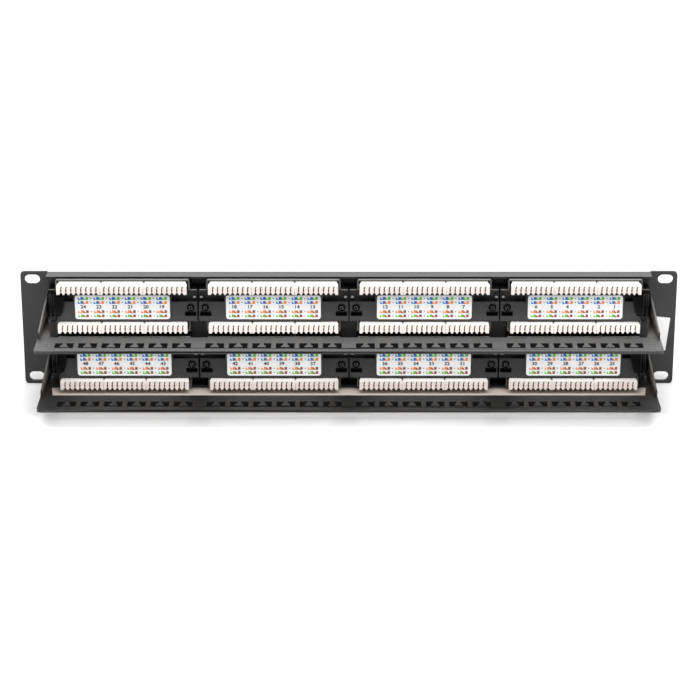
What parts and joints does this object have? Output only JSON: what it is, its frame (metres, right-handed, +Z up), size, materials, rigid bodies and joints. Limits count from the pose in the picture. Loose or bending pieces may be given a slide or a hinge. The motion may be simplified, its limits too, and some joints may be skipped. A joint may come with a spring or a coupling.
{
  "type": "patch panel",
  "caption": "Rack patch panel with sockets in front, punch-down rows on screwed module covers behind, and slotted cable support bars that pull off their clips.",
  "frame": {"origin": "middle of the whole part's bounding box", "axes": "X along the rack width, Y from the punch-down side (-Y) to the socket side (+Y), Z up"},
  "size_m": [0.4826, 0.1002, 0.0882],
  "materials": {
    "panel": "fine powder coat",
    "bar": "fine powder coat",
    "cover": "fine mould texture",
    "clip": "satin",
    "idc": "satin",
    "board": "solder mask",
    "jack": "satin",
    "screw": "black zinc"
  },
  "bodies": {
    "panel": {"front_panel": "panel", "module_cover_upper_1": "cover", "circuit_board_upper_1": "board", "jack_block_upper_1": "jack", "idc_row_upper_1_top": "idc", "idc_row_upper_1_bottom": "idc", "module_cover_upper_2": "cover", "circuit_board_upper_2": "board", "jack_block_upper_2": "jack", "idc_row_upper_2_top": "idc", "idc_row_upper_2_bottom": "idc", "module_cover_upper_3": "cover", "circuit_board_upper_3": "board", "jack_block_upper_3": "jack", "idc_row_upper_3_top": "idc", "idc_row_upper_3_bottom": "idc", "module_cover_upper_4": "cover", "circuit_board_upper_4": "board", "jack_block_upper_4": "jack", "idc_row_upper_4_top": "idc", "idc_row_upper_4_bottom": "idc", "cover_screw_upper_1_left": "screw", "cover_screw_upper_1_right": "screw", "cover_screw_upper_2_left": "screw", "cover_screw_upper_2_right": "screw", "cover_screw_upper_3_left": "screw", "cover_screw_upper_3_right": "screw", "bar_clip_upper_left": "clip", "bar_clip_upper_right": "clip", "module_cover_lower_1": "cover", "circuit_board_lower_1": "board", "jack_block_lower_1": "jack", "idc_row_lower_1_top": "idc", "idc_row_lower_1_bottom": "idc", "module_cover_lower_2": "cover", "circuit_board_lower_2": "board", "jack_block_lower_2": "jack", "idc_row_lower_2_top": "idc", "idc_row_lower_2_bottom": "idc", "module_cover_lower_3": "cover", "circuit_board_lower_3": "board", "jack_block_lower_3": "jack", "idc_row_lower_3_top": "idc", "idc_row_lower_3_bottom": "idc", "module_cover_lower_4": "cover", "circuit_board_lower_4": "board", "jack_block_lower_4": "jack", "idc_row_lower_4_top": "idc", "idc_row_lower_4_bottom": "idc", "cover_screw_lower_1_left": "screw", "cover_screw_lower_1_right": "screw", "cover_screw_lower_2_left": "screw", "cover_screw_lower_2_right": "screw", "cover_screw_lower_3_left": "screw", "cover_screw_lower_3_right": "screw", "bar_clip_lower_left": "clip", "bar_clip_lower_right": "clip"},
    "upper_bar": {"support_bar_upper": "bar"},
    "lower_bar": {"support_bar_lower": "bar"}
  },
  "joints": [
    {"name": "upper_bar_pull", "type": "slide", "parent": "panel", "child": "upper_bar", "axis": [0, -1, 0], "range_m": [0, 0.03]},
    {"name": "lower_bar_pull", "type": "slide", "parent": "panel", "child": "lower_bar", "axis": [0, -1, 0], "range_m": [0, 0.03]}
  ]
}
